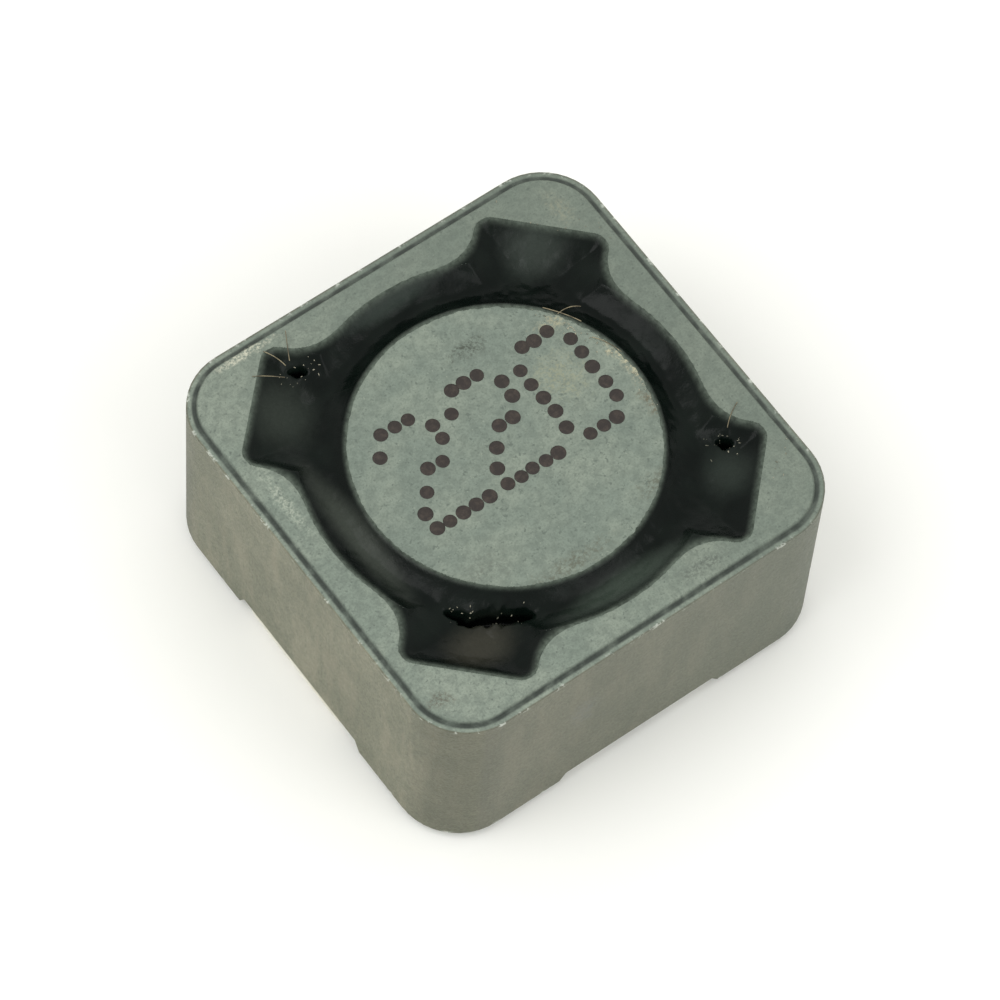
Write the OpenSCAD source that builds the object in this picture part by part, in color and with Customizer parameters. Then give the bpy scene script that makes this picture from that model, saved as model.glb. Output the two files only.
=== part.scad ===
// Shielded surface-mount power inductor. A ferrite drum carries the coil and stands on two
// stamped terminal plates. A square ferrite ring shields it, and black resin pots the gap.
//
// X runs through the two wide solder feet, Y runs along the slot between the plates and Z
// points up. The origin is on the board, under the middle of the part.

/* [Shield ring] */
// Side of the square ring
ring_side = 12; // [11:0.1:14]
// Height of the part above the board
part_h = 6; // [5:0.1:8]
// Gap between the ring and the board
ring_lift = 0.2; // [0.15:0.01:0.3]
// Radius of the ring's upright corners
corner_r = 1.65; // [1:0.05:2]
// Width of the narrow land round each raised face
land_w = 0.22; // [0.1:0.01:0.3]
// Rise of each raised face above its land
face_rise = 0.1; // [0.05:0.01:0.2]
// Width of the bevel between a raised face and its land
bevel_w = 0.08; // [0.04:0.01:0.12]
// Thinnest wall of the ring, beside its round bore
min_wall = 1.1; // [0.9:0.05:1.3]
// Chamfer round the mouths of the bore and the pockets
mouth_chamfer = 0.2; // [0.1:0.05:0.3]

/* [Corner pockets] */
// Thickness of the ring outside each pocket, along the diagonal
pocket_wall = 1.8; // [1.5:0.05:2]
// Width of each pocket
pocket_w = 2.9; // [2.7:0.05:3.1]
// Radius in the pockets' outer corners
pocket_r = 0.25; // [0.15:0.05:0.5]

/* [Cut-outs under the ring] */
// Run of the sloped ends of each cut-out
cutout_slope = 0.25; // [0.1:0.05:0.4]
// Clearance between the ends of a cut-out and the metal in it
cutout_gap = 0.05; // [0.03:0.01:0.15]
// Depth of the two cut-outs over the narrow tabs
tab_cutout_h = 0.36; // [0.26:0.01:0.5]
// Depth of the two cut-outs over the wide feet
foot_cutout_h = 0.46; // [0.4:0.01:0.7]

/* [Drum core] */
// Gap between the bore and the drum's flanges
ring_gap = 0.6; // [0.5:0.05:0.8]
// Thickness of each flange
flange_t = 1; // [0.7:0.05:1.2]
// Diameter of the middle post
post_d = 4.6; // [3.6:0.1:5]
// Chamfer round the drum's top
top_chamfer = 0.4; // [0.2:0.05:0.5]
// Chamfer round the drum's base
base_chamfer = 0.2; // [0.1:0.05:0.3]
// Drop of the drum's top below the ring's top
drum_drop = 0.05; // [0:0.01:0.2]

/* [Winding] */
// Diameter of the enamelled wire
wire_d = 0.4; // [0.3:0.02:0.44]
// Least set-back of the coil from the flanges' rims
coil_setback = 0.3; // [0.1:0.05:0.5]
// Clearance between the coil and the drum
coil_gap = 0.05; // [0.02:0.01:0.1]

/* [Terminal plates] */
// Thickness of the plated sheet
sheet_t = 0.22; // [0.15:0.01:0.25]
// Inner radius of the sheet's bends
bend_r = 0.12; // [0.08:0.01:0.15]
// Width of the slot between the two plates
slot_w = 2; // [1.4:0.1:2.4]
// Height of the plates' undersides above the board
plate_lift = 0.12; // [0.06:0.01:0.16]
// Set-back of the plates' round edges from the drum's rim
plate_setback = 0.2; // [0.1:0.05:0.4]
// Distance past the drum's rim of the circular fold that joggles the narrow tabs
fold_offset = 0.3; // [0.2:0.05:0.4]
// Width of each narrow tab
tab_w = 1.2; // [0.9:0.05:1.4]
// Set-back of the narrow tabs' ends from the ring's side
tab_setback = 0.4; // [0.1:0.05:0.6]
// Width of each solder foot
foot_w = 3.5; // [3:0.1:3.8]
// Offset of the feet along the slot
foot_shift = 0.25; // [0:0.05:0.3]
// Distance of the feet's fold lines inside the drum's rim
foot_setback = 0.5; // [0.3:0.05:0.7]
// Length of each toe, from the bend where it turns up
toe_l = 0.7; // [0.6:0.02:0.8]
// Width of each toe
toe_w = 4.1; // [3.8:0.1:4.3]
// Radius of the toes' corners
toe_r = 0.3; // [0.1:0.05:0.35]
// Set-back of the toes' ends from the ring's side
toe_setback = 0.04; // [0:0.01:0.2]
// Width of each wire tongue
tongue_w = 1.2; // [0.8:0.1:1.3]
// Gap between the drum's rim and the wire tongues
tongue_gap = 0.2; // [0.15:0.01:0.25]
// Height of the wire tongues' tips above the board
tongue_h = 1.3; // [1.1:0.05:1.6]
// Width of the relief notch on each side of a wire tongue
relief_w = 0.5; // [0.3:0.05:0.6]

/* [Lanced dimple in each foot] */
// Length of the dimple along the slot
dimple_l = 1.1; // [0.8:0.1:1.4]
// Width of the dimple
dimple_w = 0.58; // [0.4:0.02:0.7]
// Depth of the dimple at its deep end
dimple_deep = 0.15; // [0.08:0.01:0.17]
// Offset of the dimple from the middle of its foot
dimple_shift = 0.3; // [0:0.05:0.4]

/* [Glue, resin and solder] */
// Thickness of the glue between plate and drum
glue_t = 0.05; // [0.03:0.01:0.08]
// Width of the glue bead along the slot
bead_w = 0.35; // [0.2:0.05:0.5]
// Depth of the potting resin below the ring's top
resin_h = 1.5; // [1.2:0.1:1.8]
// Depth the resin's surface would sag to, far from any edge
resin_sag = 1; // [0.6:0.1:1.1]
// Distance over which the sagging resin clings to an edge
resin_cling = 1.5; // [1.3:0.1:2]
// Gap between the resin blob over a wire joint and its pocket's outer wall
blob_gap = 0.24; // [0.1:0.02:0.4]
// Radius of the solder fillet over each wire end
solder_r = 0.34; // [0.3:0.02:0.4]
// Bond line between resin and ferrite
bond = 0.02; // [0.01:0.01:0.04]

/* [Hidden] */
$fn = 64;
eps = 0.01;
lap = 0.02;

// Levels, from the board up
foot_mid = sheet_t / 2;
plate_mid = plate_lift + sheet_t / 2;
plate_top = plate_lift + sheet_t;
drum_z = plate_top + glue_t;
drum_top = part_h - drum_drop;
coil_z = drum_z + flange_t + coil_gap;
coil_h = drum_top - flange_t - coil_gap - coil_z;
tab_mid = ring_lift + tab_cutout_h - glue_t - sheet_t / 2;
toe_mid = ring_lift + foot_cutout_h - glue_t - sheet_t / 2;

// Distances from the middle, from the ring inwards
bore_r = ring_side / 2 - min_wall;
corner_reach = (ring_side / 2 - corner_r) * sqrt(2) + corner_r;
pocket_reach = corner_reach - pocket_wall;
flange_r = bore_r - ring_gap;
coil_r = post_d / 2 + coil_gap;
layers = floor((flange_r - coil_setback - coil_r) / wire_d);
coil_outer = coil_r + layers * wire_d;
plate_r = flange_r - plate_setback;
fold_r = flange_r + fold_offset;
tab_reach = ring_side / 2 - tab_setback;
toe_reach = ring_side / 2 - toe_setback;
foot_start = flange_r - foot_setback;
foot_end = toe_reach - toe_l;
tongue_reach = flange_r + tongue_gap + sheet_t;
blob_r = (pocket_reach - blob_gap - flange_r - bond) / 2;
tongue_mid = tongue_reach - sheet_t / 2;
weld_d = tongue_reach + wire_d / 2 + bond;

// ---- Outlines and bent sheet -------------------------------------------------------------

module rounded_square(size, r) {
    square([size.x - 2 * r, size.y], center = true);
    square([size.x, size.y - 2 * r], center = true);
    for (x = [-1, 1], y = [-1, 1])
        translate([x * (size.x / 2 - r), y * (size.y / 2 - r)]) circle(r);
}

// A rounded block whose sides lean out by grow over its height h
module leaning_block(size, r, h, grow) {
    hx = size.x / 2 - r;
    hy = size.y / 2 - r;
    side = [[-r, 0], [r, 0], [r + grow, h], [-r - grow, h]];
    rotate([90, 0, 90]) linear_extrude(2 * hx, center = true)
        polygon([for (p = side) [p.x + sign(p.x) * hy, p.y]]);
    rotate([90, 0, 0]) linear_extrude(2 * hy, center = true)
        polygon([for (p = side) [p.x + sign(p.x) * hx, p.y]]);
    for (x = [-1, 1], y = [-1, 1])
        translate([x * hx, y * hy]) cylinder(h = h, r1 = r, r2 = r + grow);
}

function unit(v) = v / norm(v);
function left_of(v) = [-v.y, v.x];
function turned(v, a) = [v.x * cos(a) - v.y * sin(a), v.x * sin(a) + v.y * cos(a)];

// The points along one side of a strip that follows path, off to its left. Each corner is
// a bend of radius r along the middle of the sheet, in steps of about 15 degrees.
function strip_side(path, r, off) = [
    for (i = [0 : len(path) - 1])
        let (a = unit(i == 0 ? path[1] - path[0] : path[i] - path[i - 1]),
             b = unit(i == len(path) - 1 ? a : path[i + 1] - path[i]),
             turn = atan2(a.x * b.y - a.y * b.x, a * b),
             s = sign(turn),
             start = path[i] - a * r * tan(abs(turn) / 2),
             centre = start + s * r * left_of(a),
             steps = max(1, round(abs(turn) / 15)))
        if (s == 0) path[i] + off * left_of(a)
        else for (k = [0 : steps])
            centre + turned(start - centre, turn * k / steps) * (r - s * off) / r
];

// Section of a sheet bent along a path
module bent_strip(path) {
    mid_r = bend_r + sheet_t / 2;
    upper = strip_side(path, mid_r, sheet_t / 2);
    lower = strip_side(path, mid_r, -sheet_t / 2);
    polygon(concat(lower, [for (i = [len(upper) - 1 : -1 : 0]) upper[i]]));
}

// Stands a section drawn as [distance, height] on edge, w wide, facing +X
module on_edge(w) {
    rotate([90, 0, 0]) linear_extrude(w, center = true) children();
}

// ---- Shield ring -------------------------------------------------------------------------

// The bore and the four pockets in plan, drawn in by inset
module opening_plan(inset = 0) {
    circle(bore_r - inset);
    for (a = [45, 135])
        rotate(a) rounded_square([2 * (pocket_reach - inset), pocket_w - 2 * inset], pocket_r);
}

// Chamfers round the bore and pockets, opening upwards from z = 0
module mouth(inset = 0, over = eps) {
    h = mouth_chamfer + over;
    cylinder(h = h, r1 = bore_r - inset, r2 = bore_r - inset + h);
    for (a = [45, 135]) rotate(a)
        leaning_block([2 * (pocket_reach - inset), pocket_w - 2 * inset], pocket_r, h, h);
}

// A cut-out across the underside with sloped ends, half the given width each way at its top
module cutout(half, depth) {
    mouth = half + cutout_slope * (depth + eps) / depth;
    on_edge(ring_side + 2)
        polygon([[-mouth, -eps], [mouth, -eps], [half, depth], [-half, depth]]);
}

module shield_ring() {
    ring_h = part_h - ring_lift;
    face = ring_side - 2 * land_w;
    face_size = [face, face];
    color("#8c9490") translate([0, 0, ring_lift]) difference() {
        union() {
            translate([0, 0, face_rise]) linear_extrude(ring_h - 2 * face_rise)
                rounded_square([ring_side, ring_side], corner_r);
            translate([0, 0, ring_h - face_rise])
                leaning_block(face_size, corner_r - land_w, face_rise, -bevel_w);
            translate([0, 0, face_rise]) mirror([0, 0, 1])
                leaning_block(face_size, corner_r - land_w, face_rise, -bevel_w);
        }
        translate([0, 0, -1]) linear_extrude(ring_h + 2) opening_plan();
        translate([0, 0, ring_h - mouth_chamfer]) mouth();
        translate([0, 0, mouth_chamfer]) mirror([0, 0, 1]) mouth();
        cutout(slot_w / 2 + tab_w + cutout_gap, tab_cutout_h);
        rotate(90) cutout(foot_shift + toe_w / 2 + cutout_gap, foot_cutout_h);
    }
}

// ---- Drum core ---------------------------------------------------------------------------

module drum_core() {
    color("#8c9490") rotate_extrude() polygon([
        [0, drum_z], [flange_r - base_chamfer, drum_z], [flange_r, drum_z + base_chamfer],
        [flange_r, drum_z + flange_t], [post_d / 2, drum_z + flange_t],
        [post_d / 2, drum_top - flange_t], [flange_r, drum_top - flange_t],
        [flange_r, drum_top - top_chamfer], [flange_r - top_chamfer, drum_top], [0, drum_top]
    ]);
}

// ---- Winding -----------------------------------------------------------------------------

// A lead's course in its pocket as [out along the diagonal, sideways, up]
lead_z = coil_z + 0.6 * wire_d;
weld_z = tongue_h - 1.2 * wire_d;
lead_side = tongue_w / 2 + wire_d / 2 + 0.05;
lead_course = [
    [coil_outer - 2 * wire_d, -lead_side - 2 * wire_d, lead_z + 0.2 * wire_d],
    [flange_r + wire_d + 0.05, -lead_side - 0.2, lead_z],
    [weld_d, -lead_side, weld_z],
    [weld_d, tongue_w / 2, weld_z]
];

// The first lead leaves the coil in one pocket and the last lead, wound the other way
// round, in the pocket opposite
module at_lead(last) {
    rotate(last ? 135 : -45) mirror([0, last ? 1 : 0, 0]) children();
}

// Stands a shape on p with its Y axis along v and its X axis away from the side n
module aligned(p, v, n) {
    z = cross(-n, v);
    multmatrix([[-n.x, v.x, z.x, p.x], [-n.y, v.y, z.y, p.y], [-n.z, v.z, z.z, p.z]])
        children();
}

// Round wire through a list of points, with a bend of radius wire_d at each inner one
module wire(points, d) {
    last = len(points) - 1;
    dirs = [for (i = [1 : last]) unit(points[i] - points[i - 1])];
    turns = [for (i = [1 : last - 1]) acos(dirs[i - 1] * dirs[i])];
    trims = concat([0], [for (t = turns) wire_d * tan(t / 2) - lap], [0]);
    for (i = [0 : last - 1]) {
        a = dirs[i];
        translate(points[i] + a * trims[i])
            rotate([0, acos(a.z), atan2(a.y, a.x)])
                cylinder(h = norm(points[i + 1] - points[i]) - trims[i] - trims[i + 1],
                         d = 0.98 * d);
        if (i > 0) {
            before = dirs[i - 1];
            inward = unit(a - before * (a * before));
            centre = points[i] - before * (trims[i] + lap) + inward * wire_d;
            aligned(centre, before, inward)
                rotate_extrude(angle = turns[i - 1]) translate([wire_d, 0]) circle(d = d);
        }
    }
}

module winding() {
    turns = floor(coil_h / wire_d);
    first_z = coil_z + (coil_h - (turns - 1) * wire_d) / 2;
    color("#b5591c") {
        rotate_extrude() {
            translate([coil_r + wire_d / 2, first_z])
                square([(layers - 1) * wire_d, (turns - 1) * wire_d]);
            for (i = [0 : layers - 1], k = [0 : turns - 1])
                if (i == 0 || i == layers - 1 || k == 0 || k == turns - 1)
                    translate([coil_r + (i + 0.5) * wire_d, first_z + k * wire_d])
                        circle(d = wire_d);
        }
        at_lead(false) wire(lead_course, wire_d);
        at_lead(true) wire(lead_course, wire_d);
    }
}

// ---- Terminal plates ---------------------------------------------------------------------

// Plan of the plate with its two narrow tabs
module plate_plan() {
    inner = slot_w / 2;
    difference() {
        union() {
            intersection() {
                circle(plate_r);
                translate([inner, -plate_r]) square([plate_r, 2 * plate_r]);
            }
            translate([inner, -tab_reach]) square([tab_w, 2 * tab_reach]);
            for (a = [-45, 45]) rotate(a)
                translate([0, -tongue_w / 2]) square([plate_r + relief_w / 2, tongue_w]);
        }
        for (a = [-45, 45], s = [-1, 1]) rotate(a)
            translate([plate_r, s * (tongue_w + relief_w) / 2]) circle(d = relief_w);
        translate([inner - 2 * plate_r, -plate_r]) square([2 * plate_r, 2 * plate_r]);
    }
}

// The plate's revolved section: flat, then joggled up over the circular fold
module plate_section() {
    step = tab_mid - plate_mid;
    bent_strip([[0.5, plate_mid], [fold_r - step / 2, plate_mid],
                [fold_r + step / 2, tab_mid], [tab_reach + 1, tab_mid]]);
}

// Plan of the wide foot and its toe
module foot_plan() {
    toe_start = foot_end + sheet_t;
    translate([plate_r / 2, foot_shift - foot_w / 2])
        square([toe_reach - plate_r / 2 - toe_r, foot_w]);
    translate([toe_start, foot_shift - toe_w / 2])
        square([toe_reach - toe_start - toe_r, toe_w]);
    translate([toe_start, foot_shift - toe_w / 2 + toe_r])
        square([toe_reach - toe_start, toe_w - 2 * toe_r]);
    for (s = [-1, 1])
        translate([toe_reach - toe_r, foot_shift + s * (toe_w / 2 - toe_r)]) circle(toe_r);
}

// The foot's section: down from the plate to the board, flat, then up to the toe
module foot_section() {
    step = toe_mid - foot_mid;
    bent_strip([[plate_r / 2, plate_mid], [foot_start - plate_lift, plate_mid],
                [foot_start + plate_lift, foot_mid], [foot_end, foot_mid],
                [foot_end + step / 2, toe_mid], [toe_reach + 1, toe_mid]]);
}

// Sloping recess lanced into the foot's underside
module dimple() {
    translate([(foot_start + foot_end) / 2 + 0.1, foot_shift + dimple_shift, 0])
        rotate(90) on_edge(dimple_w) polygon([
            [-dimple_l / 2, -eps], [dimple_l / 2, -eps], [dimple_l / 2, dimple_deep]
        ]);
}

// Section of a wire tongue: out past the flange, then straight up
module tongue_section() {
    bent_strip([[plate_r - 1, plate_mid], [tongue_mid, plate_mid], [tongue_mid, tongue_h]]);
}

module terminal() {
    intersection() {
        rotate_extrude() plate_section();
        linear_extrude(1) plate_plan();
    }
    difference() {
        intersection() {
            translate([0, foot_shift]) on_edge(toe_w + 1) foot_section();
            linear_extrude(1) foot_plan();
        }
        dimple();
    }
    for (a = [-45, 45]) rotate(a) on_edge(tongue_w) tongue_section();
}

module terminal_right() {
    color("#d8d6c8") terminal();
}

module terminal_left() {
    color("#d8d6c8") mirror([1, 0, 0]) terminal();
}

// ---- Glue and solder ---------------------------------------------------------------------

// A film over the plate, with a bead squeezed out along the slot
module plate_glue() {
    inner = slot_w / 2;
    reach = plate_r - relief_w;
    half = sqrt(reach * reach - inner * inner);
    translate([0, 0, plate_top]) linear_extrude(glue_t) intersection() {
        circle(reach);
        translate([inner, -reach]) square([reach, 2 * reach]);
    }
    on_edge(2 * half) polygon([
        [inner - bead_w, drum_z], [inner, drum_z], [inner, plate_mid],
        [inner - bead_w / 3, drum_z - 2 * glue_t]
    ]);
}

module plate_glue_right() {
    color("#3c5a58") plate_glue();
}

module plate_glue_left() {
    color("#3c5a58") mirror([1, 0, 0]) plate_glue();
}

// A fillet over the wire end, against the outer face of its tongue
module solder() {
    translate([0, 0, weld_z]) on_edge(0.7 * tongue_w) difference() {
        intersection() {
            translate([weld_d, 0]) circle(solder_r);
            translate([tongue_reach, -1]) square([2, 2]);
        }
        translate([weld_d, 0]) circle(d = wire_d + bond);
    }
}

module solder_right() {
    color("#c9c9c2") at_lead(false) solder();
}

module solder_left() {
    color("#c9c9c2") at_lead(true) solder();
}

// ---- Resin -------------------------------------------------------------------------------

// How far the resin's surface has fallen at a distance from the edge it clings to.
function resin_drop(s) = resin_sag * (1 - exp(-s / resin_cling));

// The outline of a basin cut across, from its middle out to the edges its surface clings to.
module basin_outline(half, steps) {
    side = [[half, part_h + 1], for (s = steps) [half - s, part_h - resin_drop(s)]];
    polygon([for (p = side) p, for (k = [len(side) - 1 : -1 : 0]) [-side[k].x, side[k].y]]);
}

// Fills the ring gap and the pockets from above. Its surface hangs between the walls, and it
// climbs halfway up their top chamfers.
module potting_resin() {
    half = pocket_w / 2 + mouth_chamfer;
    rim = mouth_chamfer + 0.8 * pocket_r;
    steps = [0, rim, (rim + 0.87 * half) / 2, 0.87 * half];
    low = part_h - resin_h;
    lip = flange_r - top_chamfer;
    color("#101312") difference() {
        union() {
            translate([0, 0, low]) linear_extrude(resin_h - mouth_chamfer) opening_plan(bond);
            translate([0, 0, part_h - mouth_chamfer]) mouth(bond, -mouth_chamfer / 2);
        }
        rotate_extrude() polygon([
            [0, low - 1], [flange_r + bond, low - 1], [flange_r + bond, drum_top - top_chamfer],
            [lip + bond, drum_top], [lip + bond, part_h + 1], [0, part_h + 1]
        ]);
        difference() {
            union() {
                rotate_extrude() intersection() {
                    basin_outline(bore_r + mouth_chamfer, steps);
                    square(part_h + 2);
                }
                for (a = [45, 135]) rotate(a) intersection() {
                    rotate([90, 0, 90]) linear_extrude(2 * ring_side, center = true)
                        basin_outline(half, steps);
                    rotate([90, 0, 0]) linear_extrude(2 * ring_side, center = true)
                        basin_outline(pocket_reach + mouth_chamfer, steps);
                }
            }
            rotate_extrude() polygon([
                [0, low - 1], [lip + steps[3], low - 1],
                for (k = [3 : -1 : 0]) [lip + steps[k], drum_top - resin_drop(steps[k])],
                [0, drum_top]
            ]);
        }
    }
}

// A long round blob over a wire joint, clear of the flange beside it
module lead_resin() {
    half = tongue_w / 6;
    color("#101312") difference() {
        translate([flange_r + bond + blob_r, 2 * half, weld_z + blob_r / 3])
            rotate([90, 0, 0]) rotate_extrude() intersection() {
                union() {
                    translate([0, -half]) square([blob_r, 2 * half]);
                    for (y = [-half, half]) translate([0, y]) circle(blob_r);
                }
                translate([0, -2]) square([2, 4]);
            }
        on_edge(tongue_w) tongue_section();
        translate([0, 0, weld_z]) on_edge(0.7 * tongue_w)
            translate([weld_d, 0]) circle(solder_r);
        translate([weld_d, tongue_w / 2 + bond, weld_z]) rotate([90, 0, 0])
            cylinder(h = 2 * tongue_w, d = wire_d + 2 * bond);
    }
}

module lead_resin_right() {
    at_lead(false) lead_resin();
}

module lead_resin_left() {
    at_lead(true) lead_resin();
}

shield_ring();
drum_core();
winding();
terminal_left();
terminal_right();
plate_glue_left();
plate_glue_right();
solder_left();
solder_right();
lead_resin_left();
lead_resin_right();
potting_resin();
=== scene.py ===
import math
import random
import bpy
import bmesh
from mathutils import Matrix, Vector, noise


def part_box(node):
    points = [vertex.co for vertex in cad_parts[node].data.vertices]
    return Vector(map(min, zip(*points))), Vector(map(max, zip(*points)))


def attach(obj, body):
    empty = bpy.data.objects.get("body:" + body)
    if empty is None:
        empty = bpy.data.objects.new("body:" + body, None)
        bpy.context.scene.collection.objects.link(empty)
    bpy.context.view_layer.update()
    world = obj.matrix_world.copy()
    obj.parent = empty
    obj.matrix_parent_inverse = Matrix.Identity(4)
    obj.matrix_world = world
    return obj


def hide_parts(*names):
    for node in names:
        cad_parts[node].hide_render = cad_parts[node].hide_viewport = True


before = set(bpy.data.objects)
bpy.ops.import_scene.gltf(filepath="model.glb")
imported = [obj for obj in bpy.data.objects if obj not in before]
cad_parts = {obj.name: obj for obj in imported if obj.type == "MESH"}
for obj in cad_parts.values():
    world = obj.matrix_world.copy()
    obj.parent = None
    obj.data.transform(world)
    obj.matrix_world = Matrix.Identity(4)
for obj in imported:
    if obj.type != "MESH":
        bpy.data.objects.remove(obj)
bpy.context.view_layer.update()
MM = 0.001


# ------------------------------------------------------------------------------------------
# Drum core. A spool of pressed and fired ferrite, matt and grey-green, with fine dark specks
# and soft mottling. Its top shows as a round disc in the middle of the part, a little smudged.

def deselect():
    bpy.ops.object.select_all(action="DESELECT")


def paint(node, material):
    mesh = bpy.data.objects[node].data
    mesh.materials.clear()
    mesh.materials.append(material)


def new_material(name):
    material = bpy.data.materials.new(name)
    material.use_nodes = True
    tree = material.node_tree
    tree.nodes.clear()
    output = tree.nodes.new("ShaderNodeOutputMaterial")
    surface = tree.nodes.new("ShaderNodeBsdfPrincipled")
    tree.links.new(surface.outputs["BSDF"], output.inputs["Surface"])
    return material, tree, surface


def millimetres(tree):
    where = tree.nodes.new("ShaderNodeTexCoord")
    scale = tree.nodes.new("ShaderNodeMapping")
    scale.inputs["Scale"].default_value = (1000, 1000, 1000)
    tree.links.new(where.outputs["Object"], scale.inputs["Vector"])
    return scale.outputs["Vector"]


def put(tree, socket, value):
    if isinstance(value, bpy.types.NodeSocket):
        tree.links.new(value, socket)
    else:
        socket.default_value = value


def reckon(tree, operation, a, b=0.0, c=0.0):
    step = tree.nodes.new("ShaderNodeMath")
    step.operation = operation
    for socket, value in zip(step.inputs, (a, b, c)):
        put(tree, socket, value)
    return step.outputs[0]


def cloud(tree, vector, scale, detail=2.0, rough=0.5):
    texture = tree.nodes.new("ShaderNodeTexNoise")
    texture.inputs["Scale"].default_value = scale
    texture.inputs["Detail"].default_value = detail
    texture.inputs["Roughness"].default_value = rough
    tree.links.new(vector, texture.inputs["Vector"])
    return texture.outputs["Fac"]


def ramp(tree, value, low, high, from_value=0.0, to_value=1.0):
    step = tree.nodes.new("ShaderNodeMapRange")
    step.interpolation_type = "SMOOTHSTEP"
    put(tree, step.inputs["Value"], value)
    step.inputs["From Min"].default_value = low
    step.inputs["From Max"].default_value = high
    step.inputs["To Min"].default_value = from_value
    step.inputs["To Max"].default_value = to_value
    return step.outputs["Result"]


def blend(tree, mask, a, b):
    step = tree.nodes.new("ShaderNodeMix")
    step.data_type = "RGBA"
    put(tree, step.inputs[0], mask)
    put(tree, step.inputs[6], a)
    put(tree, step.inputs[7], b)
    return step.outputs[2]


def colour(r, g, b):
    def linear(v):
        v = v / 255
        return v / 12.92 if v <= 0.04045 else ((v + 0.055) / 1.055) ** 2.4
    return (linear(r), linear(g), linear(b), 1.0)


def relief(tree, surface, height, depth):
    bump = tree.nodes.new("ShaderNodeBump")
    bump.inputs["Strength"].default_value = 1.0
    bump.inputs["Distance"].default_value = depth * MM
    put(tree, bump.inputs["Height"], height)
    tree.links.new(bump.outputs["Normal"], surface.inputs["Normal"])


def pressed_grain_group():
    group = bpy.data.node_groups.new("pressed grain", "ShaderNodeTree")
    face = group.interface
    face.new_socket("Position", in_out="INPUT", socket_type="NodeSocketVector")
    face.new_socket("Base", in_out="INPUT", socket_type="NodeSocketColor")
    face.new_socket("Pale", in_out="INPUT", socket_type="NodeSocketColor")
    face.new_socket("Dark", in_out="INPUT", socket_type="NodeSocketColor")
    face.new_socket("Color", in_out="OUTPUT", socket_type="NodeSocketColor")
    face.new_socket("Height", in_out="OUTPUT", socket_type="NodeSocketFloat")
    face.new_socket("Roughness", in_out="OUTPUT", socket_type="NodeSocketFloat")
    start = group.nodes.new("NodeGroupInput")
    end = group.nodes.new("NodeGroupOutput")
    at = start.outputs["Position"]
    broad = ramp(group, cloud(group, at, 0.9, 3.0), 0.35, 0.68)
    middle = ramp(group, cloud(group, at, 4.5, 4.0, 0.6), 0.38, 0.66)
    fine = cloud(group, at, 16.0, 3.0, 0.65)
    specks = ramp(group, cloud(group, at, 8.0, 3.0, 0.6), 0.61, 0.70)
    glints = ramp(group, cloud(group, at, 13.0, 1.0), 0.71, 0.78)
    tone = blend(group, reckon(group, "MULTIPLY", broad, 0.5), start.outputs["Base"],
                 start.outputs["Pale"])
    tone = blend(group, reckon(group, "MULTIPLY", middle, 0.42), tone, start.outputs["Dark"])
    tone = blend(group, reckon(group, "MULTIPLY", ramp(group, fine, 0.45, 0.62), 0.34), tone,
                 start.outputs["Dark"])
    tone = blend(group, reckon(group, "MULTIPLY", specks, 0.8), tone, start.outputs["Dark"])
    tone = blend(group, reckon(group, "MULTIPLY", glints, 0.55), tone, start.outputs["Pale"])
    height = reckon(group, "ADD", fine, reckon(group, "MULTIPLY", middle, 0.5))
    group.links.new(tone, end.inputs["Color"])
    group.links.new(height, end.inputs["Height"])
    group.links.new(ramp(group, fine, 0.3, 0.7, 0.5, 0.68), end.inputs["Roughness"])
    return group


pressed_grain = pressed_grain_group()


def use_group(tree, group, **values):
    node = tree.nodes.new("ShaderNodeGroup")
    node.node_tree = group
    for name, value in values.items():
        put(tree, node.inputs[name], value)
    return node.outputs


def spot_group():
    group = bpy.data.node_groups.new("ragged spot", "ShaderNodeTree")
    face = group.interface
    face.new_socket("Position", in_out="INPUT", socket_type="NodeSocketVector")
    face.new_socket("Centre", in_out="INPUT", socket_type="NodeSocketVector")
    face.new_socket("Size", in_out="INPUT", socket_type="NodeSocketVector")
    face.new_socket("Broken", in_out="INPUT", socket_type="NodeSocketFloat")
    face.new_socket("Mask", in_out="OUTPUT", socket_type="NodeSocketFloat")
    start = group.nodes.new("NodeGroupInput")
    end = group.nodes.new("NodeGroupOutput")
    away = group.nodes.new("ShaderNodeVectorMath")
    away.operation = "SUBTRACT"
    group.links.new(start.outputs["Position"], away.inputs[0])
    group.links.new(start.outputs["Centre"], away.inputs[1])
    share = group.nodes.new("ShaderNodeVectorMath")
    share.operation = "DIVIDE"
    group.links.new(away.outputs[0], share.inputs[0])
    group.links.new(start.outputs["Size"], share.inputs[1])
    length = group.nodes.new("ShaderNodeVectorMath")
    length.operation = "LENGTH"
    group.links.new(share.outputs[0], length.inputs[0])
    ragged = reckon(group, "MULTIPLY_ADD", cloud(group, start.outputs["Position"], 4.0, 6.0, 0.75),
                    3.0, -1.5)
    broken = start.outputs["Broken"]
    edge = reckon(group, "MULTIPLY_ADD", ragged, broken, length.outputs["Value"])
    holes = ramp(group, cloud(group, start.outputs["Position"], 12.0, 4.0, 0.7), 0.4, 0.62, 1.0, 0.0)
    flecks = reckon(group, "SUBTRACT", 1.0, reckon(group, "MULTIPLY", holes, broken))
    mask = reckon(group, "MULTIPLY", ramp(group, edge, 0.2, 1.2, 1.0, 0.0), flecks)
    group.links.new(mask, end.inputs["Mask"])
    return group


ragged_spot = spot_group()
drum_low, drum_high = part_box("drum_core")
drum_top = drum_high[2] / MM
wet_level = drum_low[2] / MM + 0.03
dry_level = wet_level + 0.2

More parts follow.
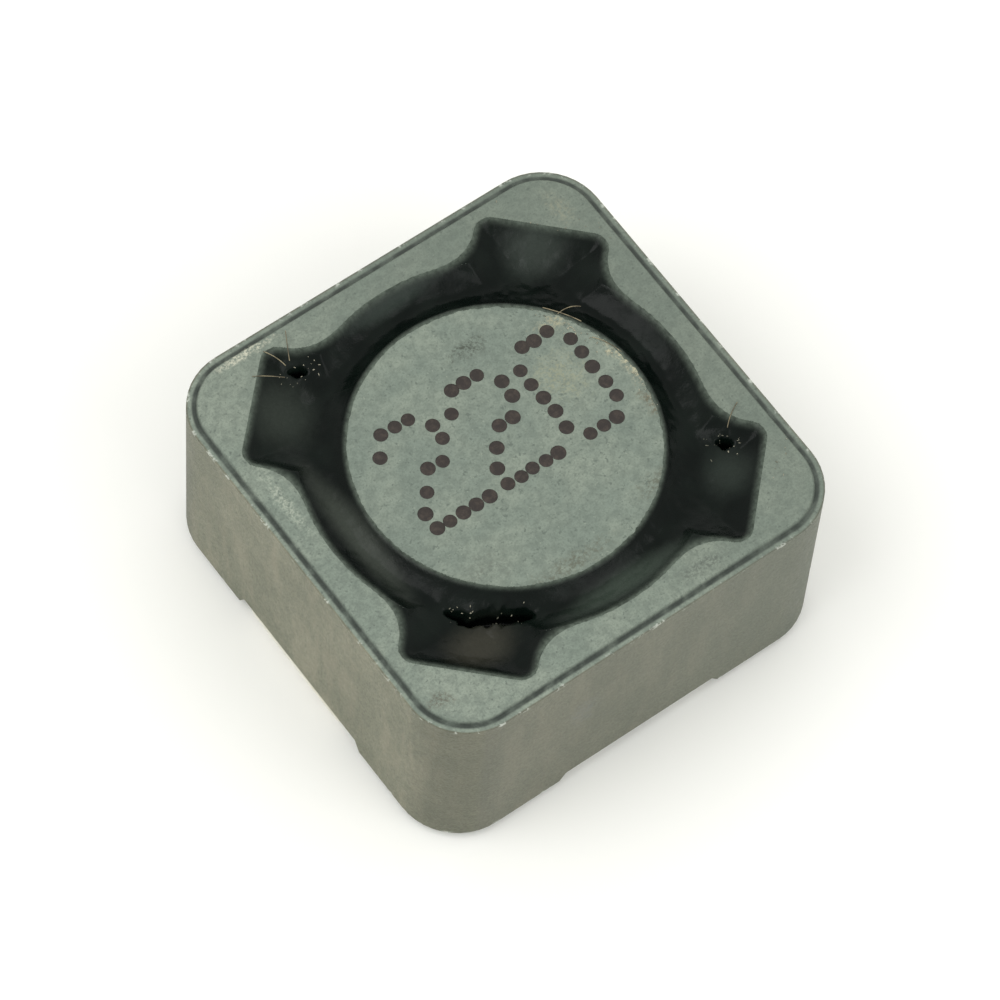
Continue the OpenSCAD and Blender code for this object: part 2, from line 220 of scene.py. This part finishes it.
drum_ferrite, tree, surface = new_material("drum ferrite")
at = millimetres(tree)
grain = use_group(tree, pressed_grain, Position=at, Base=colour(119, 131, 120),
                  Pale=colour(145, 154, 139), Dark=colour(92, 103, 94))
tone = grain["Color"]
for centre, size, shade, amount in (
        ((0.85, 2.68, 5.95), (0.6, 0.28, 2), colour(66, 72, 62), 1.0),
        ((3.65, -1.1, 5.95), (0.3, 0.6, 2), colour(96, 90, 70), 0.9),
        ((3.82, 0.45, 5.95), (0.25, 1.1, 2), colour(186, 180, 150), 0.9),
        ((3.0, 2.1, 5.95), (0.7, 0.25, 2), colour(170, 164, 134), 0.7),
        ((-0.6, -3.5, 5.95), (1.3, 0.3, 2), colour(92, 96, 82), 0.9),
        ((2.6, -2.95, 5.95), (0.9, 0.4, 2), colour(92, 96, 82), 0.9),
        ((-2.4, -2.5, 5.95), (0.8, 0.5, 2), colour(100, 108, 98), 0.8),
        ((2.2, 0.8, 5.95), (0.7, 0.8, 2), colour(146, 148, 122), 0.6)):
    spot = use_group(tree, ragged_spot, Position=at, Centre=centre, Size=size, Broken=1.0)["Mask"]
    tone = blend(tree, reckon(tree, "MULTIPLY", spot, amount), tone, shade)
# the underside is wet with the dark film that beds the plates
height = tree.nodes.new("ShaderNodeSeparateXYZ")
tree.links.new(at, height.inputs[0])
wet = ramp(tree, height.outputs["Z"], wet_level, dry_level, 1.0, 0.0)
blue = ramp(tree, cloud(tree, at, 1.4, 3.0), 0.4, 0.68)
film = blend(tree, blue, colour(30, 38, 40), colour(48, 68, 76))
tree.links.new(blend(tree, wet, tone, film), surface.inputs["Base Color"])
tree.links.new(reckon(tree, "MULTIPLY_ADD", wet, -0.4, grain["Roughness"]),
               surface.inputs["Roughness"])
relief(tree, surface, grain["Height"], 0.012)
paint("drum_core", drum_ferrite)


# ------------------------------------------------------------------------------------------
# Winding. Enamelled copper wire in four layers, hidden by the ring but for the two leads
# that run down to their tongues in opposite pockets.

enamelled_copper, tree, surface = new_material("enamelled copper")
at = millimetres(tree)
streak = ramp(tree, cloud(tree, at, 3.0, 3.0), 0.35, 0.65)
tree.links.new(blend(tree, streak, colour(176, 86, 28), colour(206, 112, 44)),
               surface.inputs["Base Color"])
surface.inputs["Metallic"].default_value = 0.85
surface.inputs["Roughness"].default_value = 0.28
surface.inputs["Coat Weight"].default_value = 0.6
surface.inputs["Coat Roughness"].default_value = 0.1
paint("winding", enamelled_copper)


# ------------------------------------------------------------------------------------------
# Terminal plates. Tin-plated sheet, stamped and folded, two mirrored halves under the drum.
# The plating is satin and pale, with dull patches and fine scuffs from handling.

tinned_sheet, tree, surface = new_material("tinned sheet")
at = millimetres(tree)
stretch = tree.nodes.new("ShaderNodeMapping")
stretch.inputs["Scale"].default_value = (1.0, 9.0, 1.0)
tree.links.new(at, stretch.inputs["Vector"])
scuffs = ramp(tree, cloud(tree, stretch.outputs["Vector"], 3.0, 4.0, 0.7), 0.45, 0.75)
dull = ramp(tree, cloud(tree, at, 1.1, 4.0, 0.6), 0.4, 0.7)
tone = blend(tree, dull, colour(238, 236, 226), colour(224, 220, 206))
tone = blend(tree, reckon(tree, "MULTIPLY", scuffs, 0.3), tone, colour(180, 176, 162))
tree.links.new(tone, surface.inputs["Base Color"])
surface.inputs["Metallic"].default_value = 1.0
tree.links.new(ramp(tree, cloud(tree, at, 6.0, 4.0, 0.6), 0.3, 0.7, 0.3, 0.4),
               surface.inputs["Roughness"])
relief(tree, surface, cloud(tree, at, 14.0, 4.0, 0.6), 0.004)
paint("terminal_left", tinned_sheet)
paint("terminal_right", tinned_sheet)


# ------------------------------------------------------------------------------------------
# Plate glue. A dark blue-green epoxy film that beds each plate on the drum, with a glossy
# bead squeezed out along the slot.

plate_glue, tree, surface = new_material("plate glue")
at = millimetres(tree)
film = ramp(tree, cloud(tree, at, 1.6, 3.0), 0.35, 0.7)
tree.links.new(blend(tree, film, colour(38, 52, 56), colour(66, 92, 98)),
               surface.inputs["Base Color"])
surface.inputs["Roughness"].default_value = 0.16
relief(tree, surface, cloud(tree, at, 2.5, 2.0), 0.03)
paint("plate_glue_left", plate_glue)
paint("plate_glue_right", plate_glue)


# ------------------------------------------------------------------------------------------
# Solder. A small bright fillet that holds each wire end to its tongue.

solder, tree, surface = new_material("solder")
at = millimetres(tree)
tree.links.new(blend(tree, ramp(tree, cloud(tree, at, 5.0, 3.0), 0.4, 0.7),
                     colour(205, 204, 198), colour(160, 158, 150)),
               surface.inputs["Base Color"])
surface.inputs["Metallic"].default_value = 1.0
surface.inputs["Roughness"].default_value = 0.3
relief(tree, surface, cloud(tree, at, 9.0, 3.0), 0.02)
paint("solder_left", solder)
paint("solder_right", solder)


# ------------------------------------------------------------------------------------------
# Shield ring. A square ring of the same ferrite, pressed to shape. The faces are cool grey, the
# walls warmer and darker, and the narrow lands are chipped pale.

ring_low, ring_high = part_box("shield_ring")
ring_side = (ring_high[0] - ring_low[0]) / MM
ring_top = ring_high[2] / MM
ring_middle = (ring_low[2] + ring_high[2]) / 2 / MM
ring_corner = 1.65
land_w = 0.2
bore_r = 4.9

ring_ferrite, tree, surface = new_material("ring ferrite")
at = millimetres(tree)
axes = tree.nodes.new("ShaderNodeSeparateXYZ")
tree.links.new(at, axes.inputs[0])
x, y, z = axes.outputs


def square_distance(tree, x, y, side, corner):
    reach = side / 2 - corner
    dx = reckon(tree, "MAXIMUM", reckon(tree, "SUBTRACT", reckon(tree, "ABSOLUTE", x), reach), 0.0)
    dy = reckon(tree, "MAXIMUM", reckon(tree, "SUBTRACT", reckon(tree, "ABSOLUTE", y), reach), 0.0)
    square = reckon(tree, "ADD", reckon(tree, "MULTIPLY", dx, dx), reckon(tree, "MULTIPLY", dy, dy))
    return reckon(tree, "SUBTRACT", reckon(tree, "SQRT", square), corner)


inside = square_distance(tree, x, y, ring_side, ring_corner)
face = use_group(tree, pressed_grain, Position=at, Base=colour(125, 137, 125),
                 Pale=colour(153, 162, 147), Dark=colour(90, 100, 92))
wall = use_group(tree, pressed_grain, Position=at, Base=colour(111, 113, 94),
                 Pale=colour(136, 136, 116), Dark=colour(86, 88, 74))
rub = tree.nodes.new("ShaderNodeMapping")
rub.inputs["Scale"].default_value = (1.6, 1.6, 0.35)
tree.links.new(at, rub.inputs["Vector"])
streaks = ramp(tree, cloud(tree, rub.outputs["Vector"], 1.2, 4.0, 0.6), 0.4, 0.7)
wall_tone = blend(tree, reckon(tree, "MULTIPLY", streaks, 0.35), wall["Color"],
                  colour(146, 140, 120))
# painted shade: the walls are painted darker towards the ring's rounded corners, where they turn
# from the light
painted_corner_shade = reckon(tree, "MINIMUM", reckon(tree, "ABSOLUTE", x), reckon(tree, "ABSOLUTE", y))
wall_tone = blend(tree, ramp(tree, painted_corner_shade, 4.2, 5.3, 0.0, 0.62), wall_tone, colour(80, 82, 68))
# painted shade: the two walls that face ±Y are painted darker, as the less lit sides
painted_end_shade = ramp(tree, reckon(tree, "ABSOLUTE", y), 5.85, 5.95, 0.0, 0.5)
wall_tone = blend(tree, painted_end_shade, wall_tone, colour(88, 90, 80))
on_wall = ramp(tree, inside, -0.06, -0.015)
tone = blend(tree, on_wall, face["Color"], wall_tone)
# the ring's colour grows darker towards +X and, less steeply, towards +Y
lean = reckon(tree, "ADD", x, reckon(tree, "MULTIPLY", y, 0.5))
tone = blend(tree, ramp(tree, lean, -8.0, 7.0, 0.0, 0.5), tone, colour(88, 98, 88))
# painted shade: a dark line in the step between the raised face and its land, above and below, where
# the steep bevel is shaded
level = reckon(tree, "ABSOLUTE", reckon(tree, "SUBTRACT", z, ring_middle))
near_face = ramp(tree, level, 2.7, 2.78)
foot_of_bevel = reckon(tree, "ABSOLUTE", reckon(tree, "ADD", inside, land_w))
painted_step_shade = reckon(tree, "MULTIPLY", ramp(tree, foot_of_bevel, 0.03, 0.1, 1.0, 0.0), near_face)
painted_step_shade = reckon(tree, "MULTIPLY", painted_step_shade, ramp(tree, cloud(tree, at, 2.2, 3.0), 0.3, 0.6, 0.6, 1.0))
tone = blend(tree, painted_step_shade, tone, colour(50, 58, 52))
# pale chips along the land's outer edge
edge = reckon(tree, "MULTIPLY", ramp(tree, reckon(tree, "ABSOLUTE", inside), 0.02, 0.12, 1.0, 0.0),
              near_face)
chips = ramp(tree, cloud(tree, at, 3.4, 5.0, 0.75), 0.54, 0.66)
tone = blend(tree, reckon(tree, "MULTIPLY", edge, reckon(tree, "MULTIPLY", chips, 0.8)), tone,
             colour(196, 202, 192))
for centre, size, shade, amount in (
        ((-5.3, -4.66, 6), (0.35, 0.3, 2), colour(84, 80, 66), 0.8),
        ((-3.8, 5.62, 6), (0.9, 0.14, 2), colour(196, 196, 176), 1.0),
        ((1.9, -5.35, 6), (0.9, 0.25, 2), colour(84, 92, 84), 0.8),
        ((-5.3, 1.8, 6), (0.2, 1.2, 2), colour(168, 176, 160), 0.8),
        ((5.0, 4.6, 6), (0.3, 0.6, 2), colour(150, 148, 124), 0.35),
        ((-1.9, -6, 3.6), (0.5, 2, 0.7), colour(100, 106, 104), 0.6)):
    spot = use_group(tree, ragged_spot, Position=at, Centre=centre, Size=size, Broken=1.0)["Mask"]
    tone = blend(tree, reckon(tree, "MULTIPLY", spot, amount), tone, shade)
# the bore and the pockets are splashed black by the resin
turn = tree.nodes.new("ShaderNodeMapping")
turn.inputs["Rotation"].default_value = (0, 0, math.radians(45))
tree.links.new(at, turn.inputs["Vector"])
diagonal = tree.nodes.new("ShaderNodeSeparateXYZ")
tree.links.new(turn.outputs["Vector"], diagonal.inputs[0])
u = reckon(tree, "ABSOLUTE", diagonal.outputs["X"])
v = reckon(tree, "ABSOLUTE", diagonal.outputs["Y"])
flat = tree.nodes.new("ShaderNodeCombineXYZ")
tree.links.new(x, flat.inputs[0])
tree.links.new(y, flat.inputs[1])
radius = tree.nodes.new("ShaderNodeVectorMath")
radius.operation = "LENGTH"
tree.links.new(flat.outputs[0], radius.inputs[0])
in_bore = ramp(tree, radius.outputs["Value"], bore_r + 0.05, bore_r + 0.15, 1.0, 0.0)
in_pocket = reckon(tree, "MULTIPLY", ramp(tree, reckon(tree, "MINIMUM", u, v), 1.5, 1.6, 1.0, 0.0),
                   ramp(tree, reckon(tree, "MAXIMUM", u, v), 6.05, 6.15, 1.0, 0.0))
black = reckon(tree, "MAXIMUM", in_bore, in_pocket)
tone = blend(tree, black, tone, colour(20, 27, 25))
tree.links.new(tone, surface.inputs["Base Color"])
tree.links.new(reckon(tree, "MULTIPLY_ADD", black, -0.3, face["Roughness"]),
               surface.inputs["Roughness"])
relief(tree, surface, face["Height"], 0.014)
paint("shield_ring", ring_ferrite)


# ------------------------------------------------------------------------------------------
# Resin over the wire joints. Glossy black epoxy dabbed over each lead in its pocket.

black_resin, tree, surface = new_material("black resin")
at = millimetres(tree)
thin = ramp(tree, cloud(tree, at, 0.9, 3.0), 0.42, 0.72)
tone = blend(tree, thin, colour(4, 11, 8), colour(13, 21, 17))
# painted reflections: lighter patches on the annulus and in the pockets where the glossy resin would
# mirror the room's light
for centre, size, shade in (
        ((0.2, -4.6, 5.6), (2.2, 0.45, 1), colour(78, 90, 80)),
        ((-4.3, 0.2, 5.6), (0.45, 2.5, 1), colour(80, 86, 78)),
        ((0.0, 4.85, 5.7), (2.0, 0.3, 1), colour(58, 68, 62)),
        ((-3.6, -3.9, 5.4), (1.1, 0.8, 1), colour(76, 74, 64)),
        ((4.0, 4.25, 5.4), (1.0, 1.0, 1), colour(74, 82, 76)),
        ((-3.95, 4.0, 5.4), (1.1, 1.1, 1), colour(64, 71, 64)),
        ((4.15, -3.6, 5.4), (0.8, 0.8, 1), colour(56, 64, 58))):
    spot = use_group(tree, ragged_spot, Position=at, Centre=centre, Size=size, Broken=0.12)["Mask"]
    tone = blend(tree, reckon(tree, "MULTIPLY", spot, 0.5), tone, shade)
# where the resin thins out to nothing the ferrite shows through; the blobs have no such edge
thinness = tree.nodes.new("ShaderNodeAttribute")
thinness.attribute_name = "thinness"
fuzzy = reckon(tree, "MULTIPLY", thinness.outputs["Fac"],
               ramp(tree, cloud(tree, at, 6.0, 4.0, 0.7), 0.3, 0.7, 0.5, 1.15))
tone = blend(tree, fuzzy, tone, colour(92, 102, 92))
# painted shade: the tears are painted near-black inside, where shade falls deep in the slits
painted_tear_shade = tree.nodes.new("ShaderNodeAttribute")
painted_tear_shade.attribute_name = "painted_tear_shade"
tone = blend(tree, ramp(tree, painted_tear_shade.outputs["Fac"], 0.3, 0.6), tone, colour(3, 5, 4))
tree.links.new(tone, surface.inputs["Base Color"])
surface.inputs["Specular IOR Level"].default_value = 0.12
tree.links.new(ramp(tree, cloud(tree, at, 2.2, 4.0, 0.7), 0.35, 0.7, 0.2, 0.38),
               surface.inputs["Roughness"])
relief(tree, surface, cloud(tree, at, 5.0, 3.0, 0.6), 0.012)
paint("lead_resin_left", black_resin)
paint("lead_resin_right", black_resin)


# ------------------------------------------------------------------------------------------
# Potting resin. The same black epoxy, poured into the gap and the four pockets. It clings to
# the walls and sags between them, and it tore open in three places as it set.

# the opening's outline on top, and the bare disc
opening_r = 5.12
disc_r = 3.84
disc_chamfer_r = 3.92
pocket_half = 1.67
pocket_end = 6.22
pocket_corner = 0.42
pocket_blend = 0.9
# the levels the resin hangs from, a film above the faces, and how it sags
resin_film = 0.008
ring_hang = ring_top + resin_film
disc_hang = drum_top + resin_film
sag = 1.0
cling = 1.5
skin_reach = 0.5
tear_depth = 0.5
# the sheet that the surface is shaped from
poured_side = 12.4
poured_steps = 300
poured_base = 5.0
poured_depth = 0.7
edge_overlap = 0.08
disc_overlap = 0.12
thin_edge = 0.2


def drop(s):
    """How far the resin has fallen at a distance from its edge; outside it dives out of sight."""
    return sag * (1 - math.exp(-s / cling)) if s > 0 else -1.5 * s


def box_distance(x, y, half_x, half_y, corner):
    dx, dy = abs(x) - half_x + corner, abs(y) - half_y + corner
    return min(max(dx, dy), 0.0) + math.hypot(max(dx, 0.0), max(dy, 0.0)) - corner


def soft_min(a, b, width):
    h = max(width - abs(a - b), 0.0) / width
    return min(a, b) - h * h * width / 4


def from_opening(x, y, round_off=pocket_blend):
    """Distance outside the opening of ring and pockets; less than 0 inside it."""
    u, v = (x + y) * math.sqrt(0.5), (y - x) * math.sqrt(0.5)
    pockets = min(box_distance(u, v, pocket_end, pocket_half, pocket_corner),
                  box_distance(v, u, pocket_end, pocket_half, pocket_corner))
    return soft_min(math.hypot(x, y) - opening_r, pockets, round_off)


def tear(x, y, x0, y0, x1, y1, width):
    """How deep a point lies in a tear between two ends: 1 on its line, 0 outside."""
    dx, dy = x1 - x0, y1 - y0
    t = max(0.0, min(1.0, ((x - x0) * dx + (y - y0) * dy) / (dx * dx + dy * dy)))
    away = math.hypot(x - x0 - t * dx, y - y0 - t * dy)
    ragged = 1.0 + 0.6 * noise.noise(Vector((x * 6, y * 6, 4.0)))
    bulge = 0.45 + 0.55 * math.sin(math.pi * t)
    return math.exp(-(away / (width * ragged * bulge)) ** 2)


# each tear as its two ends and its width; the last two run together into one slit
tears = [(-3.05, 4.72, -2.74, 4.50, 0.08), (4.38, -2.80, 4.62, -2.98, 0.10),
         (-3.72, -2.68, -3.30, -3.25, 0.07), (-3.55, -3.05, -2.10, -3.92, 0.13)]


def resin_height(x, y):
    wobble = 0.03 * noise.noise(Vector((x * 1.3, y * 1.3, 0.0)))
    fray = 0.05 * noise.noise(Vector((x * 5, y * 5, 2.0))) * (1 if x > 1.0 else 0.25)
    outer = -from_opening(x, y)
    inner = math.hypot(x, y) - disc_r + fray + wobble
    from_ring, from_disc = ring_hang - drop(outer), disc_hang - drop(inner)
    if outer < 0 or inner < 0:
        return from_ring if outer < 0 else from_disc
    z = -soft_min(-from_ring, -from_disc, 0.12)
    depth = min(outer, inner, 0.6)
    z += 0.12 * depth * noise.noise(Vector((x * 0.9, y * 0.9, 7.0)))
    z += 0.03 * depth * noise.noise(Vector((x * 3.5, y * 3.5, 9.0)))
    # a skin of resin lies on both chamfers and rounds off the inside corners of the opening
    edge = -from_opening(x, y, 0.01)
    if edge < skin_reach:
        z = -soft_min(-z, -(ring_hang - max(edge - 0.03, 0.0)), 0.1)
    edge = math.hypot(x, y) - disc_chamfer_r
    if edge < skin_reach:
        z = -soft_min(-z, -(disc_hang - max(edge, 0.0)), 0.1)
    for x0, y0, x1, y1, width in tears:
        z -= tear_depth * tear(x, y, x0, y0, x1, y1, width)
    return z


deselect()
bpy.ops.mesh.primitive_grid_add(x_subdivisions=poured_steps, y_subdivisions=poured_steps,
                                size=poured_side * MM, location=(0, 0, poured_base * MM))
resin = bpy.context.object
resin.name = "potting_resin_poured"
bpy.ops.object.transform_apply(location=True, rotation=True, scale=True)
bpy.ops.object.mode_set(mode="EDIT")
shape = bmesh.from_edit_mesh(resin.data)
dry = []
for f in shape.faces:
    px, py = f.calc_center_median().x / MM, f.calc_center_median().y / MM
    if from_opening(px, py) > edge_overlap or math.hypot(px, py) < disc_r - disc_overlap:
        dry.append(f)
bmesh.ops.delete(shape, geom=dry, context="FACES")
bmesh.update_edit_mesh(resin.data)
bpy.ops.mesh.select_all(action="SELECT")
bpy.ops.mesh.extrude_region_move(TRANSFORM_OT_translate={"value": (0, 0, poured_depth * MM)})
shape = bmesh.from_edit_mesh(resin.data)
for v in shape.verts:
    if v.select:
        v.co.z = resin_height(v.co.x / MM, v.co.y / MM) * MM
bmesh.update_edit_mesh(resin.data)
bpy.ops.mesh.select_all(action="SELECT")
bpy.ops.mesh.normals_make_consistent(inside=False)
bpy.ops.mesh.faces_shade_smooth()
bpy.ops.object.mode_set(mode="OBJECT")
thinness = resin.data.attributes.new("thinness", "FLOAT", "POINT")
painted_tear_shade = resin.data.attributes.new("painted_tear_shade", "FLOAT", "POINT")
for v in resin.data.vertices:
    px, py = v.co.x / MM, v.co.y / MM
    rim = min(-from_opening(px, py), 1.5 * (math.hypot(px, py) - disc_r))
    thinness.data[v.index].value = max(0.0, min(1.0, 1 - rim / thin_edge)) ** 1.5
    painted_tear_shade.data[v.index].value = max(tear(px, py, *ends) for ends in tears)
resin.data.materials.append(black_resin)
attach(resin, "root")
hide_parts("potting_resin")


# ------------------------------------------------------------------------------------------
# Resin threads. Hair-thin threads pulled out as the nozzle lifted off, stiff and pale with
# dust. They stand over the two corner holes and lie across the right rim of the disc.

thread_r = 0.011
threads = [[(-2.95, 4.85, 5.99), (-2.8, 5.15, 6.06), (-2.58, 5.55, 6.09)],
           [(-3.1, 4.8, 5.98), (-3.15, 5.1, 6.05), (-3.35, 5.4, 6.07)],
           [(-3.3, 4.55, 5.97), (-3.7, 4.85, 6.05), (-3.95, 5.0, 6.02)],
           [(4.7, -2.7, 5.97), (4.95, -2.45, 6.05), (5.3, -2.3, 6.03)],
           [(3.0, 2.55, 5.97), (3.35, 2.1, 6.0), (3.55, 1.7, 5.97)],
           [(3.2, 2.2, 5.97), (3.55, 2.25, 6.0), (3.8, 2.05, 5.95)],
           [(3.5, 1.2, 5.965), (3.75, 0.9, 5.985), (3.85, 0.45, 5.96)]]

dusty_thread, tree, surface = new_material("dusty thread")
at = millimetres(tree)
tree.links.new(blend(tree, ramp(tree, cloud(tree, at, 3.0, 2.0), 0.4, 0.6),
                     colour(150, 140, 112), colour(92, 84, 66)), surface.inputs["Base Color"])
surface.inputs["Roughness"].default_value = 0.7

curve = bpy.data.curves.new("resin_threads", "CURVE")
curve.dimensions = "3D"
curve.bevel_depth = thread_r * MM
curve.bevel_resolution = 1
curve.use_fill_caps = True
for points in threads:
    line = curve.splines.new("NURBS")
    line.points.add(len(points) - 1)
    line.order_u = 3
    line.use_endpoint_u = True
    for point, at_mm in zip(line.points, points):
        point.co = (*(v * MM for v in at_mm), 1)
strands = bpy.data.objects.new("resin_threads", curve)
bpy.context.collection.objects.link(strands)
deselect()
strands.select_set(True)
bpy.context.view_layer.objects.active = strands
bpy.ops.object.convert(target="MESH")
strands = bpy.context.object
strands.data.materials.append(dusty_thread)
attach(strands, "root")


# ------------------------------------------------------------------------------------------
# Ferrite dust. Pale grains knocked off the edges, caught at the tears, along the right rim of
# the disc and on the outer lands.

# each place as two ends, the spread round them, the level and the number of grains
grain_places = [(x0, y0, x1, y1, spread, 5.9, 26) for x0, y0, x1, y1, spread in
                ((-3.3, 4.75, -2.5, 4.35, 0.12), (4.2, -2.7, 4.8, -3.05, 0.13),
                 (-3.7, -2.7, -3.2, -3.3, 0.09), (-3.2, -3.3, -2.1, -3.85, 0.1))]
grain_places += [(2.7, 2.75, 3.85, 0.3, 0.07, 5.96, 34), (3.8, -0.2, 3.6, -1.4, 0.06, 5.96, 16),
                 (3.6, 5.3, 5.4, 3.4, 0.14, 6.0, 12), (4.8, -4.6, 5.6, -3.7, 0.12, 6.0, 10)]

pale_dust, tree, surface = new_material("pale dust")
at = millimetres(tree)
tree.links.new(blend(tree, ramp(tree, cloud(tree, at, 2.0, 2.0), 0.4, 0.6),
                     colour(168, 164, 144), colour(104, 104, 90)), surface.inputs["Base Color"])
surface.inputs["Roughness"].default_value = 0.75

deepest_grain = 5.4
dice = random.Random(11)
shape = bmesh.new()
for x0, y0, x1, y1, spread, level, count in grain_places:
    for _ in range(count):
        t = dice.random()
        px = x0 + t * (x1 - x0) + dice.gauss(0, spread)
        py = y0 + t * (y1 - y0) + dice.gauss(0, spread)
        z = level
        if from_opening(px, py) < -0.02 and math.hypot(px, py) > disc_r:
            z = resin_height(px, py)
            if z < deepest_grain:
                continue
        size = dice.uniform(0.008, 0.024)
        turn = Matrix.Rotation(dice.uniform(0, 6.28), 4, "Z")
        turn = turn @ Matrix.Rotation(dice.uniform(0, 3), 4, "X")
        bmesh.ops.create_icosphere(
            shape, subdivisions=1, radius=size * MM,
            matrix=Matrix.Translation((px * MM, py * MM, (z + size * 0.3) * MM)) @ turn
            @ Matrix.Diagonal((dice.uniform(0.8, 2.4), 0.7, 0.5, 1)))
mesh = bpy.data.meshes.new("ferrite_dust")
shape.to_mesh(mesh)
shape.free()
mesh.materials.append(pale_dust)
dust = bpy.data.objects.new("ferrite_dust", mesh)
bpy.context.collection.objects.link(dust)
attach(dust, "root")


# ------------------------------------------------------------------------------------------
# Printed code. Plain digits jetted on the disc as rows of touching ink dots, dark brown and
# slightly domed. The dots wander a little, as they do when the part moves under the jet.

dot_sunk = 0.002
dot_d = 0.375
dot_h = 0.008
dot_dome = 0.004
dot_dome_edge = 0.03
dot_wander = 0.03
column_pitch = 0.38
row_pitch = 0.472
digit_pitch = 2.1
code_left = -2.67
code_top = 1.93
digit_rows = {"2": ("01110", "10001", "00001", "00110", "01000", "10000", "11111"),
              "0": ("01110", "10001", "10001", "10001", "10001", "10001", "01110")}

ink, tree, surface = new_material("ink")
at = millimetres(tree)
worn = ramp(tree, cloud(tree, at, 7.0, 4.0, 0.7), 0.42, 0.72)
tree.links.new(blend(tree, worn, colour(38, 31, 27), colour(60, 51, 44)),
               surface.inputs["Base Color"])
surface.inputs["Roughness"].default_value = 0.62
relief(tree, surface, cloud(tree, at, 14.0, 3.0), 0.01)

deselect()
bpy.ops.mesh.primitive_circle_add(vertices=20, radius=dot_d / 2 * MM, fill_type="NGON",
                                  location=(0, 0, 0))
dot = bpy.context.object
bpy.ops.object.mode_set(mode="EDIT")
bpy.ops.mesh.select_all(action="SELECT")
bpy.ops.mesh.extrude_region_move(TRANSFORM_OT_translate={"value": (0, 0, dot_h * MM)})
bpy.ops.mesh.inset(thickness=dot_dome_edge * MM)
bpy.ops.transform.translate(value=(0, 0, dot_dome * MM))
bpy.ops.mesh.select_all(action="SELECT")
bpy.ops.mesh.normals_make_consistent(inside=False)
bpy.ops.mesh.faces_shade_smooth()
bpy.ops.object.mode_set(mode="OBJECT")
dice = random.Random(7)
dots = []
for place, digit in enumerate("220"):
    for row, marks in enumerate(digit_rows[digit]):
        for column, mark in enumerate(marks):
            if mark == "0":
                continue
            deselect()
            dot.select_set(True)
            bpy.context.view_layer.objects.active = dot
            bpy.ops.object.duplicate()
            copy = bpy.context.object
            size = dice.uniform(0.93, 1.07)
            copy.data.transform(Matrix.Diagonal((size, size, 1, 1)))
            px = code_left + place * digit_pitch + column * column_pitch
            px += dice.uniform(-dot_wander, dot_wander)
            py = code_top - row * row_pitch + dice.uniform(-dot_wander, dot_wander)
            copy.data.transform(Matrix.Translation((px * MM, py * MM, (drum_top - dot_sunk) * MM)))
            dots.append(copy)
deselect()
for copy in dots:
    copy.select_set(True)
bpy.context.view_layer.objects.active = dots[0]
bpy.ops.object.join()
code = bpy.context.object
code.name = "printed_code"
code.data.materials.append(ink)
bpy.data.objects.remove(dot)
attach(code, "root")


# ------------------------------------------------------------------------------------------
# Table, light and camera. A white table under a bright sky and two soft round lights, with
# the camera looking down at the near corner.

table_side = 2
table_drop = 0.00002
light_size = 0.3
lit_point = (0, 0, 0.003)
camera_distance = 0.1495

deselect()
bpy.ops.mesh.primitive_plane_add(size=table_side, location=(0, 0, -table_drop))
table = bpy.context.object
table.name = "table"
white, tree, surface = new_material("white table")
surface.inputs["Base Color"].default_value = colour(254, 254, 251)
surface.inputs["Roughness"].default_value = 0.9
surface.inputs["Specular IOR Level"].default_value = 0.1
table.data.materials.append(white)

world = bpy.data.worlds.new("studio")
bpy.context.scene.world = world
world.use_nodes = True
background = world.node_tree.nodes["Background"]
background.inputs["Color"].default_value = (1.0, 1.0, 0.97, 1)
background.inputs["Strength"].default_value = 0.87


def softbox(name, place, power):
    lamp = bpy.data.lights.new(name, "AREA")
    lamp.shape = "DISK"
    lamp.size = light_size
    lamp.energy = power
    box = bpy.data.objects.new(name, lamp)
    bpy.context.collection.objects.link(box)
    box.location = place
    ray = Vector(lit_point) - Vector(place)
    box.rotation_euler = ray.to_track_quat("-Z", "Y").to_euler()


softbox("key", (-0.22, 0.05, 0.34), 0.5)
softbox("fill", (0.1, -0.3, 0.3), 0.33)

elevation, azimuth, roll = math.radians(62.6), math.radians(-41.1), math.radians(5.52)
back = Vector((math.sin(azimuth) * math.cos(elevation), -math.cos(azimuth) * math.cos(elevation),
               math.sin(elevation)))
eye = back * camera_distance
aim = Vector((0, 0, 0.0031))
look = (eye - aim).normalized()
across = Vector((math.cos(azimuth), math.sin(azimuth), 0))
across = (across - look * across.dot(look)).normalized()
upward = look.cross(across)
right = across * math.cos(roll) + upward * math.sin(roll)
above = upward * math.cos(roll) - across * math.sin(roll)
lens = bpy.data.cameras.new("camera")
lens.lens = 215
lens.clip_start = 0.01
camera = bpy.data.objects.new("camera", lens)
bpy.context.collection.objects.link(camera)
camera.matrix_world = Matrix(((right.x, above.x, look.x, eye.x), (right.y, above.y, look.y, eye.y),
                              (right.z, above.z, look.z, eye.z), (0, 0, 0, 1)))
scene = bpy.context.scene
scene.camera = camera
scene.view_settings.view_transform = "Standard"
